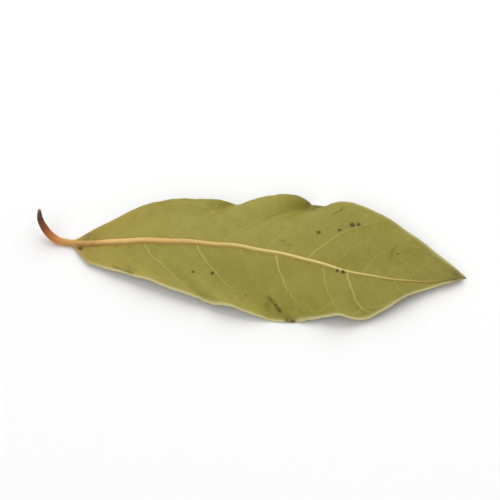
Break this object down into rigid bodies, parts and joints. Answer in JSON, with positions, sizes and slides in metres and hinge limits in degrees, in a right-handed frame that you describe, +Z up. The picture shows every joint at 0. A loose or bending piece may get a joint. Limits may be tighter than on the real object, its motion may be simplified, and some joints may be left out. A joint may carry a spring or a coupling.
{
  "type": "dried bay leaf",
  "caption": "Dried laurel leaf lying underside up: thin waved blade with a raised midrib, side veins and a short hooked stalk.",
  "frame": {"origin": "middle of the bounding box's bottom, on the surface the leaf lies on", "axes": "+X from the stalk to the tip, +Y across the leaf away from the nearer margin, +Z up, out of the leaf's underside"},
  "size_m": [0.0806, 0.0274, 0.0056],
  "materials": {
    "leaf": "matt, slightly waxy dried leaf"
  },
  "bodies": {
    "root": {"bay_leaf": "leaf"}
  },
  "joints": []
}
